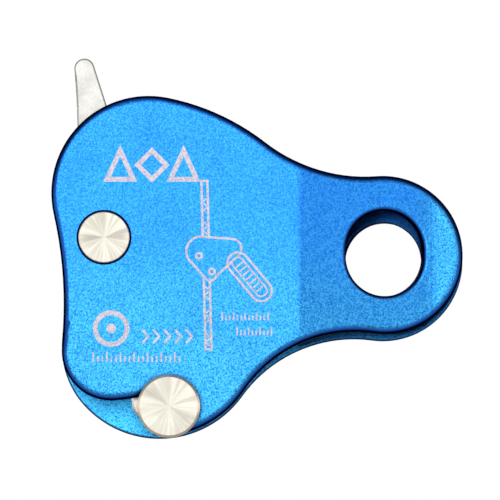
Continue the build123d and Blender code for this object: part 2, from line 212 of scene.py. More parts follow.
class EffectShelf:
    """Builds each shared effect once and hands it out as a node group."""

    CELLS_PER_GRAIN: ClassVar[float] = 1.5
    STREAK_SIZE: ClassVar[float] = 0.16
    STREAK_TWIST: ClassVar[float] = 0.012
    WEDGE_SHARPNESS: ClassVar[float] = 26.0
    RINGS_PER_MM: ClassVar[float] = 9.0
    SCRATCH_STRETCH: ClassVar[float] = 0.035

    built: ClassVar[dict[Effect, bpy.types.NodeTree]] = {}

    @classmethod
    def group(cls, effect: Effect) -> bpy.types.NodeTree:
        """Returns the effect's node group, building it the first time."""
        if effect not in cls.built:
            makers = {
                Effect.BLAST: cls._blast,
                Effect.SIDES: cls._sides,
                Effect.TURNED: cls._turned,
                Effect.WEAR: cls._wear,
                Effect.HANDLING: cls._handling,
                Effect.RECESS: cls._recess,
            }
            cls.built[effect] = makers[effect](effect.value)
        return cls.built[effect]

    @staticmethod
    def _start(
        name: str, inputs: dict[str, float], outputs: Sequence[str]
    ) -> tuple[Graph, bpy.types.Node, bpy.types.Node]:
        """Makes an empty group with float sockets.

        Args:
            name: The group's name.
            inputs: Its inputs and their usual values.
            outputs: Its outputs.

        Returns:
            The graph, its input node and its output node.
        """
        tree = bpy.data.node_groups.new(name, "ShaderNodeTree")
        for label, value in inputs.items():
            socket = tree.interface.new_socket(name=label, in_out="INPUT", socket_type="NodeSocketFloat")
            socket.default_value = value
        for label in outputs:
            tree.interface.new_socket(name=label, in_out="OUTPUT", socket_type="NodeSocketFloat")
        graph = Graph(tree)
        return graph, graph.node("NodeGroupInput"), graph.node("NodeGroupOutput")

    @classmethod
    def _blast(cls, name: str) -> bpy.types.NodeTree:
        """Fine pits that bead blasting leaves, and scattered specks that a finish can paint as glints."""
        inputs = {"Grain": 0.3, "Speck Share": 0.12}
        graph, given, out = cls._start(name, inputs, ("Tone", "Speck", "Height"))
        place = graph.place()
        fine = graph.noise(place, given.outputs["Grain"], 3.0)
        cells = graph.node("TexVoronoi")
        graph.feed(cells.inputs["Vector"], place)
        graph.feed(cells.inputs["Scale"], graph.math("DIVIDE", cls.CELLS_PER_GRAIN, given.outputs["Grain"]))
        chance = graph.node("SeparateColor")
        graph.feed(chance.inputs[0], cells.outputs["Color"])
        limit = graph.math("SUBTRACT", 1.0, given.outputs["Speck Share"])
        lucky = graph.math("GREATER_THAN", chance.outputs[0], limit)
        near = graph.spread(cells.outputs["Distance"], 0.6, 0.15)
        dimple = graph.spread(chance.outputs[1], 0.0, 1.0, 0.25, 0.75)
        tone = graph.math("ADD", graph.math("MULTIPLY", fine, 0.6), graph.math("MULTIPLY", dimple, 0.4))
        graph.feed(out.inputs["Tone"], graph.spread(tone, 0.32, 0.68))
        graph.feed(out.inputs["Speck"], graph.math("MULTIPLY", lucky, near))
        graph.feed(out.inputs["Height"], graph.math("SUBTRACT", fine, graph.math("MULTIPLY", near, 0.25)))
        return graph.tree

    @classmethod
    def _sides(cls, name: str) -> bpy.types.NodeTree:
        """Masks for painting shade and light on edges: how far a surface turns away from the plates' flat
        faces, which look along Y, and how far it faces down Z.
        """
        graph, given, out = cls._start(name, {"Face": 0.965, "Side": 0.5}, ("Side", "Down"))
        normal = graph.node("SeparateXYZ")
        graph.feed(normal.inputs[0], graph.node("TexCoord").outputs["Normal"])
        facing = graph.math("ABSOLUTE", normal.outputs["Y"])
        graph.feed(out.inputs["Side"], graph.spread(facing, given.outputs["Face"], given.outputs["Side"]))
        graph.feed(out.inputs["Down"], graph.spread(normal.outputs["Z"], 0.25, -0.45))
        return graph.tree

    @classmethod
    def _turned(cls, name: str) -> bpy.types.NodeTree:
        """Lathe-turned disc about the part's Y: streaks out of the centre and two dark wedges, masks for
        painting its reflection, and fine rings.
        """
        inputs = {"Centre X": 0.0, "Centre Z": 0.0, "Wedge Angle": 0.0, "Radius": 7.0}
        graph, given, out = cls._start(name, inputs, ("Streak", "Wedge", "Ring"))
        place = graph.node("SeparateXYZ")
        graph.feed(place.inputs[0], graph.place())
        across = graph.math("SUBTRACT", place.outputs["X"], given.outputs["Centre X"])
        upward = graph.math("SUBTRACT", place.outputs["Z"], given.outputs["Centre Z"])
        squares = graph.math("ADD", graph.math("POWER", across, 2.0), graph.math("POWER", upward, 2.0))
        radius = graph.math("SQRT", graph.math("MAXIMUM", squares, 1e-6))
        heading = graph.node("CombineXYZ")
        graph.feed(heading.inputs["X"], graph.math("DIVIDE", across, radius))
        graph.feed(heading.inputs["Y"], graph.math("DIVIDE", upward, radius))
        graph.feed(heading.inputs["Z"], graph.math("MULTIPLY", radius, cls.STREAK_TWIST))
        streaks = graph.noise(heading.outputs[0], cls.STREAK_SIZE, 4.0)
        graph.feed(out.inputs["Streak"], graph.spread(streaks, 0.35, 0.68))
        angle = graph.math("ARCTAN2", upward, across)
        turned = graph.math("SUBTRACT", angle, given.outputs["Wedge Angle"])
        facing = graph.math("ABSOLUTE", graph.math("COSINE", turned))
        reflection_wedge = graph.math("POWER", facing, cls.WEDGE_SHARPNESS)
        share = graph.math("DIVIDE", radius, given.outputs["Radius"])
        at_centre = graph.spread(share, 0.0, 0.12)
        at_rim = graph.spread(share, 1.0, 0.62, 0.35, 1.0)
        fade = graph.math("MULTIPLY", at_centre, at_rim)
        graph.feed(out.inputs["Wedge"], graph.math("MULTIPLY", reflection_wedge, fade))
        rings = graph.node("CombineXYZ")
        graph.feed(rings.inputs["X"], graph.math("MULTIPLY", radius, cls.RINGS_PER_MM))
        graph.feed(out.inputs["Ring"], graph.noise(rings.outputs[0], 1.0, 2.0))
        return graph.tree

    @classmethod
    def _wear(cls, name: str) -> bpy.types.NodeTree:
        """Corners that handling has rubbed: where a rounded normal differs from the true one."""
        graph, given, out = cls._start(name, {"Reach": 0.3, "Breakup": 1.5}, ("Worn",))
        rounded = graph.node("Bevel", samples=4)
        graph.feed(rounded.inputs["Radius"], graph.math("MULTIPLY", given.outputs["Reach"], MM))
        true = graph.node("NewGeometry").outputs["Normal"]
        match = graph.node("VectorMath", operation="DOT_PRODUCT")
        graph.feed(match.inputs[0], rounded.outputs[0])
        graph.feed(match.inputs[1], true)
        corner = graph.spread(match.outputs["Value"], 0.995, 0.86)
        patches = graph.noise(graph.place(), given.outputs["Breakup"], 3.0)
        graph.feed(out.inputs["Worn"], graph.math("MULTIPLY", corner, graph.spread(patches, 0.3, 0.62)))
        return graph.tree

    @classmethod
    def _handling(cls, name: str) -> bpy.types.NodeTree:
        """Smudges from hands, and hairline scratches that run mostly along the part's Z."""
        graph, given, out = cls._start(name, {"Smudge": 9.0, "Scratch": 0.12}, ("Smudged", "Scratched"))
        smudge = graph.noise(graph.place(), given.outputs["Smudge"], 4.0)
        graph.feed(out.inputs["Smudged"], graph.spread(smudge, 0.36, 0.66))
        stretched = graph.place((1.0, 1.0, cls.SCRATCH_STRETCH))
        lines = graph.noise(stretched, given.outputs["Scratch"], 1.0)
        patches = graph.noise(graph.place(), 5.0, 2.0)
        sharp = graph.spread(lines, 0.66, 0.74)
        graph.feed(out.inputs["Scratched"], graph.math("MULTIPLY", sharp, graph.spread(patches, 0.45, 0.6)))
        return graph.tree

    @classmethod
    def _recess(cls, name: str) -> bpy.types.NodeTree:
        """Narrow gaps and recesses, where neighbouring metal keeps the light out."""
        graph, given, out = cls._start(name, {"Reach": 5.0, "Open": 0.8, "Shut": 0.35}, ("Shade",))
        open_sky = graph.node("AmbientOcclusion", samples=8)
        graph.feed(open_sky.inputs["Distance"], graph.math("MULTIPLY", given.outputs["Reach"], MM))
        shade = graph.spread(open_sky.outputs["AO"], given.outputs["Open"], given.outputs["Shut"])
        graph.feed(out.inputs["Shade"], shade)
        return graph.tree


class Finish:
    """What every finish shares: it makes one material and fills the slots of CAD nodes with it."""

    name: ClassVar[str] = "finish"

    def surface(self, graph: Graph, shader: bpy.types.Node) -> None:
        """Feeds the shader's sockets. Each finish has its own."""
        raise NotImplementedError

    def material(self) -> bpy.types.Material:
        """Builds the finish as a material.

        Returns:
            A new material with one Principled shader.
        """
        made = bpy.data.materials.new(self.name)
        made.use_nodes = True
        graph = Graph(made.node_tree)
        shader = graph.node("BsdfPrincipled")
        output = graph.node("OutputMaterial")
        graph.tree.links.new(shader.outputs[0], output.inputs["Surface"])
        self.surface(graph, shader)
        log.info("finish %s", made.name)
        return made

    @staticmethod
    def roughened(
        graph: Graph, mask: Feed, middle: float, smoother: float, rougher: float
    ) -> bpy.types.NodeSocket:
        """Returns a roughness that a mask moves about the finish's own.

        Args:
            graph: The material's graph.
            mask: The mask, from 0 to 1.
            middle: The finish's own roughness.
            smoother: How far below it a mask of 0 lies.
            rougher: How far above it a mask of 1 lies.

        Returns:
            The roughness.
        """
        return graph.spread(mask, 0.0, 1.0, middle - smoother, middle + rougher)

    @staticmethod
    def bump(
        graph: Graph, height: Feed, depth: float, strength: float = 1.0
    ) -> bpy.types.NodeSocket:
        """Returns a normal bumped by a height of 0 to 1.

        Args:
            graph: The material's graph.
            height: The height, from 0 to 1.
            depth: How deep a height of 1 is, in millimetres.
            strength: The share of the bump that is applied.

        Returns:
            The bumped normal.
        """
        made = graph.node("Bump")
        made.inputs["Strength"].default_value = strength
        made.inputs["Distance"].default_value = depth * MM
        graph.feed(made.inputs["Height"], height)
        return made.outputs[0]


@dataclass(frozen=True)
class AnodisedBlue(Finish):
    """Bead-blasted aluminium dyed bright blue, with painted shade on its rounded edges, walls and recesses,
    painted light towards the heel and the ear's tip, and painted glints in its grain.
    """

    name: ClassVar[str] = "blue_anodised_aluminium"
    face: Colour = (0.0215, 0.275, 1.0)
    # pale is the colour painted as light towards the heel and the ear's tip.
    pale: Colour = (0.038, 0.385, 0.84)
    painted_rim_shade: Colour = (0.008, 0.045, 0.27)
    painted_low_rim_light: Colour = (0.036, 0.22, 0.98)
    painted_edge_shading: Colour = (0.0010, 0.003, 0.022)
    painted_recess_shade: Colour = (0.0016, 0.006, 0.045)
    pit: Colour = (0.008, 0.11, 0.46)
    painted_glint: Colour = (0.13, 0.66, 0.92)
    rubbed: Colour = (0.06, 0.20, 0.62)
    glancing: Colour = (0.01, 0.05, 0.22)
    lit_below: Point = (22.0, -42.0)
    lit_beyond: Point = (6.0, 18.0)
    pit_share: float = 0.8
    glint_share: float = 0.5
    glint_speck_share: float = 0.8
    worn_share: float = 0.15
    recess_reach: float = 8.0
    recess_open: float = 0.82
    recess_shut: float = 0.42
    shaded_from: Point | None = None
    bend_x: float = 12.3
    bend_span: Point = (8.0, 16.0)
    bend_angle: float = math.atan2(7.0, 34.8)
    grain: float = 0.50
    grain_depth: float = 0.05
    roughness: float = 0.31

    def surface(self, graph: Graph, shader: bpy.types.Node) -> None:
        """Grain, painted glints, painted edge and recess shade, and painted light over dyed metal."""
        blast = graph.effect(Effect.BLAST, Grain=self.grain, Speck_Share=0.16)
        turning = graph.effect(Effect.SIDES, Face=0.975, Side=0.84)
        far_side = graph.effect(Effect.SIDES, Face=0.93, Side=0.56)
        wear = graph.effect(Effect.WEAR, Reach=0.25, Breakup=2.2)
        handling = graph.effect(Effect.HANDLING, Smudge=14.0)
        recess = graph.effect(
            Effect.RECESS, Reach=self.recess_reach, Open=self.recess_open, Shut=self.recess_shut
        )
        # The recess mask marks where shade is painted; shaded_from limits it along X.
        shade = recess.outputs["Shade"]
        if self.shaded_from:
            shade = graph.math("MULTIPLY", shade, graph.spread(graph.along("X"), *self.shaded_from))
        # Painted light: the colour turns paler towards the heel and the ear's tip.
        painted_light = self.painted_light(graph)
        contrast = graph.spread(painted_light, 0.0, 1.0, 0.6, 1.0)
        colour = graph.blend(painted_light, self.face, self.pale)
        pits = graph.math("MULTIPLY", graph.spread(blast.outputs["Tone"], 0.5, 0.0), self.pit_share)
        colour = graph.blend(graph.math("MULTIPLY", pits, contrast), colour, self.pit)
        # Painted glints: the grain's bright half and scattered specks are painted towards a bright glint
        # colour.
        glints = graph.spread(blast.outputs["Tone"], 0.5, 1.0)
        glints = graph.math("MULTIPLY", glints, self.glint_share)
        specks = graph.math("MULTIPLY", blast.outputs["Speck"], self.glint_speck_share)
        bright = graph.math("MAXIMUM", glints, specks)
        colour = graph.blend(graph.math("MULTIPLY", bright, contrast), colour, self.painted_glint)
        # Painted shade on the rounded rims, made lighter as painted light where they face down, then
        # painted near-black shade on the plate's walls.
        painted_rim_shade = graph.blend(turning.outputs["Down"], self.painted_rim_shade, self.painted_low_rim_light)
        colour = graph.blend(turning.outputs["Side"], colour, painted_rim_shade)
        colour = graph.blend(far_side.outputs["Side"], colour, self.painted_edge_shading)
        worn = graph.math("MULTIPLY", wear.outputs["Worn"], self.worn_share)
        colour = graph.blend(worn, colour, self.rubbed)
        # Painted shade in narrow gaps and recesses.
        colour = graph.blend(shade, colour, self.painted_recess_shade)
        graph.feed(shader.inputs["Base Color"], colour)
        shader.inputs["Metallic"].default_value = 1.0
        shader.inputs["Specular Tint"].default_value = (*self.glancing, 1.0)
        rough = self.roughened(graph, handling.outputs["Smudged"], self.roughness, 0.02, 0.03)
        graph.feed(shader.inputs["Roughness"], rough)
        grained = self.bump(graph, blast.outputs["Height"], self.grain_depth, 0.5)
        if self.bend_angle:
            graph.feed(grained.node.inputs["Normal"], self.rolled_bend(graph))
        graph.feed(shader.inputs["Normal"], grained)

    def rolled_bend(self, graph: Graph) -> bpy.types.NodeSocket:
        """Returns the plate's normal, eased over the crease by the eye as a pressed bend would be."""
        place = graph.along("X")
        eased = graph.spread(place, *self.bend_span, self.bend_angle, 0.0)
        sloping = graph.math("LESS_THAN", place, self.bend_x)
        lean = graph.math("SUBTRACT", eased, graph.math("MULTIPLY", sloping, self.bend_angle))
        rolled = graph.node("VectorRotate", rotation_type="Z_AXIS")
        graph.feed(rolled.inputs["Vector"], graph.node("TexCoord").outputs["Normal"])
        graph.feed(rolled.inputs["Angle"], lean)
        world = graph.node(
            "VectorTransform", vector_type="NORMAL", convert_from="OBJECT", convert_to="WORLD"
        )
        graph.feed(world.inputs[0], rolled.outputs[0])
        return world.outputs[0]

    def painted_light(self, graph: Graph) -> bpy.types.NodeSocket:
        """Returns the painted light: how far the colour is painted paler, towards the heel and the tip of
        the ear.
        """
        heel = graph.spread(graph.along("Z"), *self.lit_below)
        tip = graph.spread(graph.along("X"), *self.lit_beyond)
        return graph.math("MAXIMUM", heel, tip)


@dataclass(frozen=True)
class TurnedSteel(Finish):
    """Stainless pin with lathe-turned end faces, with painted reflection streaks out of its centre."""

    name: ClassVar[str] = "turned_stainless_steel"
    centre: Point = (0.0, 0.0)
    radius: float = 7.0
    wedge_angle: float = 0.0
    wedge_depth: float = 0.5
    bright: Colour = (0.63, 0.605, 0.53)
    reflection_streak: Colour = (0.49, 0.465, 0.39)
    streak_share: float = 0.55
    edge_share: float = 0.75
    reflection_wedge: Colour = (0.355, 0.33, 0.285)
    painted_edge_shading: Colour = (0.92, 0.74, 0.56)
    roughness: float = 0.30

    def surface(self, graph: Graph, shader: bpy.types.Node) -> None:
        """Painted reflection streaks and two dark reflection wedges, a painted warm reflection on the rims,
        and turning rings on bright metal.
        """
        turned = graph.effect(
            Effect.TURNED,
            Centre_X=self.centre[0],
            Centre_Z=self.centre[1],
            Wedge_Angle=math.radians(self.wedge_angle),
            Radius=self.radius,
        )
        sides = graph.effect(Effect.SIDES, Face=0.97, Side=0.75)
        handling = graph.effect(Effect.HANDLING, Smudge=6.0)
        # Painted reflection: streaks out of the centre and two dark wedges.
        streaks = graph.math("MULTIPLY", turned.outputs["Streak"], self.streak_share)
        colour = graph.blend(streaks, self.bright, self.reflection_streak)
        reflection_wedges = graph.math("MULTIPLY", turned.outputs["Wedge"], self.wedge_depth)
        colour = graph.blend(reflection_wedges, colour, self.reflection_wedge)
        # Painted warm reflection on the rims, where they turn away from the face.
        rims = graph.math("MULTIPLY", sides.outputs["Side"], self.edge_share)
        colour = graph.blend(rims, colour, self.painted_edge_shading)
        graph.feed(shader.inputs["Base Color"], colour)
        shader.inputs["Metallic"].default_value = 1.0
        rough = self.roughened(graph, turned.outputs["Streak"], self.roughness, 0.05, 0.06)
        rough = graph.math("ADD", rough, graph.math("MULTIPLY", handling.outputs["Smudged"], 0.04))
        graph.feed(shader.inputs["Roughness"], rough)
        graph.feed(shader.inputs["Normal"], self.bump(graph, turned.outputs["Ring"], 0.012, 0.5))


@dataclass(frozen=True)
class TumbledSteel(Finish):
    """Steel that was tumbled smooth: soft grain, rubbed corners and hairline scratches."""

    name: ClassVar[str] = "tumbled_steel"
    face: Colour = (0.58, 0.575, 0.55)
    dull: Colour = (0.50, 0.49, 0.47)
    rubbed: Colour = (0.72, 0.71, 0.68)
    # side is the colour painted as shade where surfaces turn away from the front and back.
    side: Colour = (0.34, 0.33, 0.30)
    painted_side_shade_share: float = 0.6
    worn_share: float = 0.3
    mottle_share: float = 0.45
    scratch_share: float = 0.6
    grain: float = 0.6
    depth: float = 0.012
    roughness: float = 0.36

    def surface(self, graph: Graph, shader: bpy.types.Node) -> None:
        """Soft mottling, worn corners, painted shade on the sides, and scratches on grey metal."""
        blast = graph.effect(Effect.BLAST, Grain=self.grain, Speck_Share=0.05)
        handling = graph.effect(Effect.HANDLING, Smudge=7.0)
        wear = graph.effect(Effect.WEAR, Reach=0.3)
        sides = graph.effect(Effect.SIDES, Face=0.97, Side=0.5)
        mottle = graph.math("MULTIPLY", handling.outputs["Smudged"], self.mottle_share)
        colour = graph.blend(mottle, self.face, self.dull)
        colour = graph.shade(colour, graph.spread(blast.outputs["Tone"], 0.0, 1.0, 0.95, 1.04))
        # Painted shade on the sides.
        painted_side_shade = graph.math("MULTIPLY", sides.outputs["Side"], self.painted_side_shade_share)
        colour = graph.blend(painted_side_shade, colour, self.side)
        worn = graph.math("MULTIPLY", wear.outputs["Worn"], self.worn_share)
        colour = graph.blend(worn, colour, self.rubbed)
        graph.feed(shader.inputs["Base Color"], colour)
        shader.inputs["Metallic"].default_value = 1.0
        rough = self.roughened(graph, handling.outputs["Smudged"], self.roughness, 0.04, 0.05)
        graph.feed(shader.inputs["Roughness"], rough)
        scratches = graph.math("MULTIPLY", handling.outputs["Scratched"], self.scratch_share)
        height = graph.math("SUBTRACT", blast.outputs["Height"], scratches)
        graph.feed(shader.inputs["Normal"], self.bump(graph, height, self.depth, 0.6))


@dataclass(frozen=True)
class LeverSteel(TumbledSteel):
    """The release lever's stamped stainless sheet."""

    name: ClassVar[str] = "stamped_stainless_sheet"
    face: Colour = (0.62, 0.61, 0.575)
    dull: Colour = (0.60, 0.59, 0.555)
    # Strong painted shade on the lever's walls.
    side: Colour = (0.26, 0.255, 0.235)
    painted_side_shade_share: float = 0.85


@dataclass(frozen=True)
class CamSteel(TumbledSteel):
    """Bright plated casting of the cam and the post's sleeve, with a fine orange-peel skin."""

    name: ClassVar[str] = "plated_cast_steel"
    face: Colour = (0.72, 0.69, 0.65)
    dull: Colour = (0.63, 0.60, 0.56)
    side: Colour = (0.56, 0.53, 0.49)
    painted_side_shade_share: float = 0.35
    grain: float = 0.9
    depth: float = 0.04
    roughness: float = 0.30


@dataclass(frozen=True)
class WasherSteel(TumbledSteel):
    """Washers and lever rivets, zinc plated and slightly cloudy."""

    name: ClassVar[str] = "zinc_plated_washer"
    face: Colour = (0.50, 0.515, 0.53)
    dull: Colour = (0.40, 0.415, 0.43)
    side: Colour = (0.30, 0.31, 0.33)
    grain: float = 0.4
    roughness: float = 0.42


@dataclass(frozen=True)
class BearingBronze(TumbledSteel):
    """Sintered bronze of the cam's bush and the front plate's."""

    name: ClassVar[str] = "sintered_bronze"
    face: Colour = (0.62, 0.40, 0.18)
    dull: Colour = (0.46, 0.28, 0.12)
    rubbed: Colour = (0.80, 0.58, 0.32)
    side: Colour = (0.44, 0.27, 0.12)
    painted_side_shade_share: float = 0.4
    grain: float = 0.25
    depth: float = 0.02
    roughness: float = 0.44


@dataclass(frozen=True)
class SpringWire(Finish):
    """Drawn music wire: draw lines along it and a thin straw-coloured temper film."""

    name: ClassVar[str] = "drawn_spring_wire"
    bright: Colour = (0.46, 0.44, 0.42)
    film: Colour = (0.30, 0.24, 0.17)
    film_share: float = 0.7
    roughness: float = 0.30

    def surface(self, graph: Graph, shader: bpy.types.Node) -> None:
        """Patches of film over bright drawn wire."""
        handling = graph.effect(Effect.HANDLING, Smudge=1.6, Scratch=0.1)
        blast = graph.effect(Effect.BLAST, Grain=0.12, Speck_Share=0.04)
        filmed = graph.math("MULTIPLY", handling.outputs["Smudged"], self.film_share)
        colour = graph.blend(filmed, self.bright, self.film)
        colour = graph.shade(colour, graph.spread(blast.outputs["Tone"], 0.0, 1.0, 0.86, 1.1))
        graph.feed(shader.inputs["Base Color"], colour)
        shader.inputs["Metallic"].default_value = 1.0
        rough = self.roughened(graph, blast.outputs["Tone"], self.roughness, 0.05, 0.08)
        graph.feed(shader.inputs["Roughness"], rough)
        graph.feed(shader.inputs["Normal"], self.bump(graph, blast.outputs["Height"], 0.01, 0.4))


@dataclass(frozen=True)
class LaserMark(Finish):
    """Where a laser has bleached the dye: pale and satin, with the blast grain showing through."""

    name: ClassVar[str] = "laser_bleached_mark"
    pale: Colour = (0.60, 0.55, 0.59)
    grey: Colour = (0.51, 0.475, 0.54)
    dye: Colour = (0.26, 0.38, 0.62)
    dye_share: float = 0.5
    grain: float = 0.62

    def surface(self, graph: Graph, shader: bpy.types.Node) -> None:
        """Pale metal broken up by grain, with dye left in the deepest pits."""
        blast = graph.effect(Effect.BLAST, Grain=self.grain, Speck_Share=0.1)
        colour = graph.blend(blast.outputs["Tone"], self.grey, self.pale)
        pits = graph.spread(blast.outputs["Tone"], 0.22, 0.0)
        colour = graph.blend(graph.math("MULTIPLY", pits, self.dye_share), colour, self.dye)
        graph.feed(shader.inputs["Base Color"], colour)
        shader.inputs["Metallic"].default_value = 1.0
        rough = graph.spread(blast.outputs["Tone"], 0.0, 1.0, 0.46, 0.38)
        graph.feed(shader.inputs["Roughness"], rough)
        graph.feed(shader.inputs["Normal"], self.bump(graph, blast.outputs["Height"], 0.03, 0.4))


def dress(finish: Finish, *nodes: str) -> None:
    """Gives CAD nodes one finish.

    Args:
        finish: The finish.
        *nodes: Names of the CAD nodes that take it.
    """
    made = finish.material()
    for node in nodes:
        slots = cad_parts[node].data.materials
        slots.clear()
        slots.append(made)
        log.info("%s dressed in %s", node, made.name)


def centre_of(node: str) -> Point:
    """Returns the middle of a CAD node's box seen along Y, as X and Z in millimetres."""
    low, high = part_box(node)
    middle = (low + high) / 2 / MM
    return middle.x, middle.z


@dataclass
class FramePlates:
    """The two plates, bent towards each other so that they nearly meet at the eye."""

    front: AnodisedBlue = AnodisedBlue()
    # The rear plate's colours are painted paler than the front's, as painted light where the front plate
    # shades it; its recess mask paints shade only from X -58 towards the eye.
    rear: AnodisedBlue = AnodisedBlue(
        face=(0.025, 0.32, 1.0),
        pale=(0.055, 0.55, 1.0),
        recess_reach=20.0,
        recess_open=0.98,
        recess_shut=0.55,
        shaded_from=(-58.0, -50.0),
        bend_angle=0.0,
    )

    def build(self) -> None:
        """Dresses both plates. The rear one gets painted shade towards the eye, where the front one covers
        it, and paler colours as painted light on its face.
        """
        dress(self.front, "front_plate")
        dress(self.rear, "rear_plate")


@dataclass
class PinSet:
    """Both headed pins, the cam's stop pin and the washers.

    heads has each headed pin's node, the angle of its painted dark reflection wedges, and how deep
    its wedges and its painted reflection streaks are.
    """

    heads: tuple[tuple[str, float, float, float], ...] = (
        ("cam_axle", 4.0, 0.8, 0.55),
        ("post_pin", -38.0, 0.5, 0.2),
    )
    stop_radius: float = 1.5

    def build(self) -> None:
        """Dresses the pins about their own centres, then the washers."""
        for node, angle, depth, streaks in self.heads:
            low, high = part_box(node)
            finish = TurnedSteel(
                centre=centre_of(node),
                radius=(high.x - low.x) / 2 / MM,
                wedge_angle=angle,
                wedge_depth=depth,
                streak_share=streaks,
            )
            dress(finish, node)
        dress(TurnedSteel(centre=centre_of("stop_pin"), radius=self.stop_radius), "stop_pin")
        dress(
            WasherSteel(),
            "axle_rear_washer",
            "front_thrust_washer",
            "rear_thrust_washer",
            "swing_washer",
            "post_front_washer",
            "post_inner_washer",
            "post_rear_washer",
        )


@dataclass
class CamGroup:
    """The toothed cam, its lever and rivets, both bushes, the closing spring and the post's sleeve."""

    def build(self) -> None:
        """Dresses each piece in its own metal."""
        dress(CamSteel(), "rope_cam", "post_sleeve")
        dress(LeverSteel(), "release_lever")
        dress(WasherSteel(), "lever_rivets")
        dress(BearingBronze(), "cam_bushing", "swing_bush")
        dress(SpringWire(), "torsion_spring")


def circle_points(
    centre: Point, radius: float, steps: int = 48, start: float = 0.0, sweep: float = 360.0
) -> list[Point]:
    """Returns points along a circle or an arc of it, anticlockwise.

    Args:
        centre: The circle's centre.
        radius: Its radius.
        steps: How many steps the stretch is cut into.
        start: The angle it starts at, in degrees.
        sweep: How far it goes, in degrees. A whole circle leaves out its last point.

    Returns:
        The points, in order.
    """
    count = steps if abs(sweep) >= 360.0 else steps + 1
    angles = [math.radians(start + sweep * index / steps) for index in range(count)]
    return [(centre[0] + radius * math.cos(a), centre[1] + radius * math.sin(a)) for a in angles]


def turned(points: Sequence[Point], centre: Point, angle: float) -> list[Point]:
    """Returns points turned about a centre by an angle in degrees."""
    c, s = math.cos(math.radians(angle)), math.sin(math.radians(angle))
    moved = [(x - centre[0], z - centre[1]) for x, z in points]
    return [(centre[0] + x * c - z * s, centre[1] + x * s + z * c) for x, z in moved]


def stadium(centre: Point, length: float, width: float, angle: float, steps: int = 16) -> list[Point]:
    """Returns a closed outline with straight sides and round ends.

    Args:
        centre: Its middle.
        length: Its overall length.
        width: Its overall width.
        angle: The direction of its length, in degrees.
        steps: Steps round each end.

    Returns:
        The outline's points, anticlockwise.
    """
    reach, radius = (length - width) / 2, width / 2
    right = circle_points((centre[0] + reach, centre[1]), radius, steps, -90.0, 180.0)
    left = circle_points((centre[0] - reach, centre[1]), radius, steps, 90.0, 180.0)
    return turned(right + left, centre, angle)


class Stencil:
    """One laser mark: flat shapes on the plate's outer face, given as X and Z in millimetres."""

    STEP: ClassVar[float] = 0.003
    STEPS: ClassVar[int] = 5
    SHARPEST_MITRE: ClassVar[float] = 0.35

    def __init__(self, name: str, face: float, height: float = 0.03, sink: float = 0.03) -> None:
        """Starts an empty mark.

        Args:
            name: The piece's name.
            face: The plate face's Y, in millimetres. The mark looks along minus Y.
            height: How far the mark stands proud of the face.
            sink: How far it reaches into the plate.
        """
        self.name = name
        self.level = face - height
        self.bottom = face + sink
        self.shapes = 0
        self.mesh = bmesh.new()

    def _next_top(self) -> float:
        """Returns the next shape's top, a hair off the last one's, so that crossings don't flicker."""
        self.shapes += 1
        return self.level - self.STEP * (self.shapes % self.STEPS)

    def _vertex(self, point: Point, level: float) -> bmesh.types.BMVert:
        """Adds one vertex at a point, on a level of Y."""
        return self.mesh.verts.new((point[0] * MM, level * MM, point[1] * MM))

    def solid(self, outline: Sequence[Point]) -> None:
        """Adds a filled shape that has no hole."""
        top = self._next_top()
        tops = [self._vertex(point, top) for point in outline]
        bottoms = [self._vertex(point, self.bottom) for point in outline]
        self.mesh.faces.new(tops)
        self.mesh.faces.new(bottoms[::-1])
        for index in range(len(outline)):
            after = (index + 1) % len(outline)
            self.mesh.faces.new((tops[index], bottoms[index], bottoms[after], tops[after]))

    def stroke(self, points: Sequence[Point], width: float, closed: bool = False) -> None:
        """Adds a line of even width with mitred corners.

        Args:
            points: The line's middle.
            width: Its width.
            closed: Whether it joins up into a ring.
        """
        top, low = self._next_top(), self.bottom
        rows = [
            [self._vertex(place, level) for place, level in ((a, top), (b, top), (b, low), (a, low))]
            for a, b in self._offsets(points, width / 2, closed)
        ]
        spans = len(rows) if closed else len(rows) - 1
        for index in range(spans):
            here, after = rows[index], rows[(index + 1) % len(rows)]
            for corner in range(4):
                beside = (corner + 1) % 4
                self.mesh.faces.new((here[corner], here[beside], after[beside], after[corner]))
        if not closed:
            self.mesh.faces.new(rows[0][::-1])
            self.mesh.faces.new(rows[-1])

    @staticmethod
    def _offsets(points: Sequence[Point], half: float, closed: bool) -> list[tuple[Point, Point]]:
        """Returns the left and right points of a line at each of its corners."""
        found = []
        last = len(points) - 1
        for index, point in enumerate(points):
            before = points[index - 1] if index > 0 or closed else None
            after = points[(index + 1) % len(points)] if index < last or closed else None
            into = (Vector(point) - Vector(before)).normalized() if before else None
            out = (Vector(after) - Vector(point)).normalized() if after else None
            into, out = into or out, out or into
            side = Vector((-(into.y + out.y), into.x + out.x)).normalized()
            reach = half / max(Stencil.SHARPEST_MITRE, side.dot(Vector((-into.y, into.x))))
            found.append(
                (
                    (point[0] + side.x * reach, point[1] + side.y * reach),
                    (point[0] - side.x * reach, point[1] - side.y * reach),
                )
            )
        return found

    def finish(self, material: bpy.types.Material, body: str) -> bpy.types.Object:
        """Turns the mark into an object that rides on a body.

        Args:
            material: Its material.
            body: The CAD body that it moves with.

        Returns:
            The new object.
        """
        bmesh.ops.recalc_face_normals(self.mesh, faces=self.mesh.faces)
        data = bpy.data.meshes.new(self.name)
        self.mesh.to_mesh(data)
        self.mesh.free()
        data.materials.append(material)
        made = bpy.data.objects.new(self.name, data)
        bpy.context.scene.collection.objects.link(made)
        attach(made, body)
        log.info("%s: %d faces on %s", self.name, len(data.polygons), body)
        return made


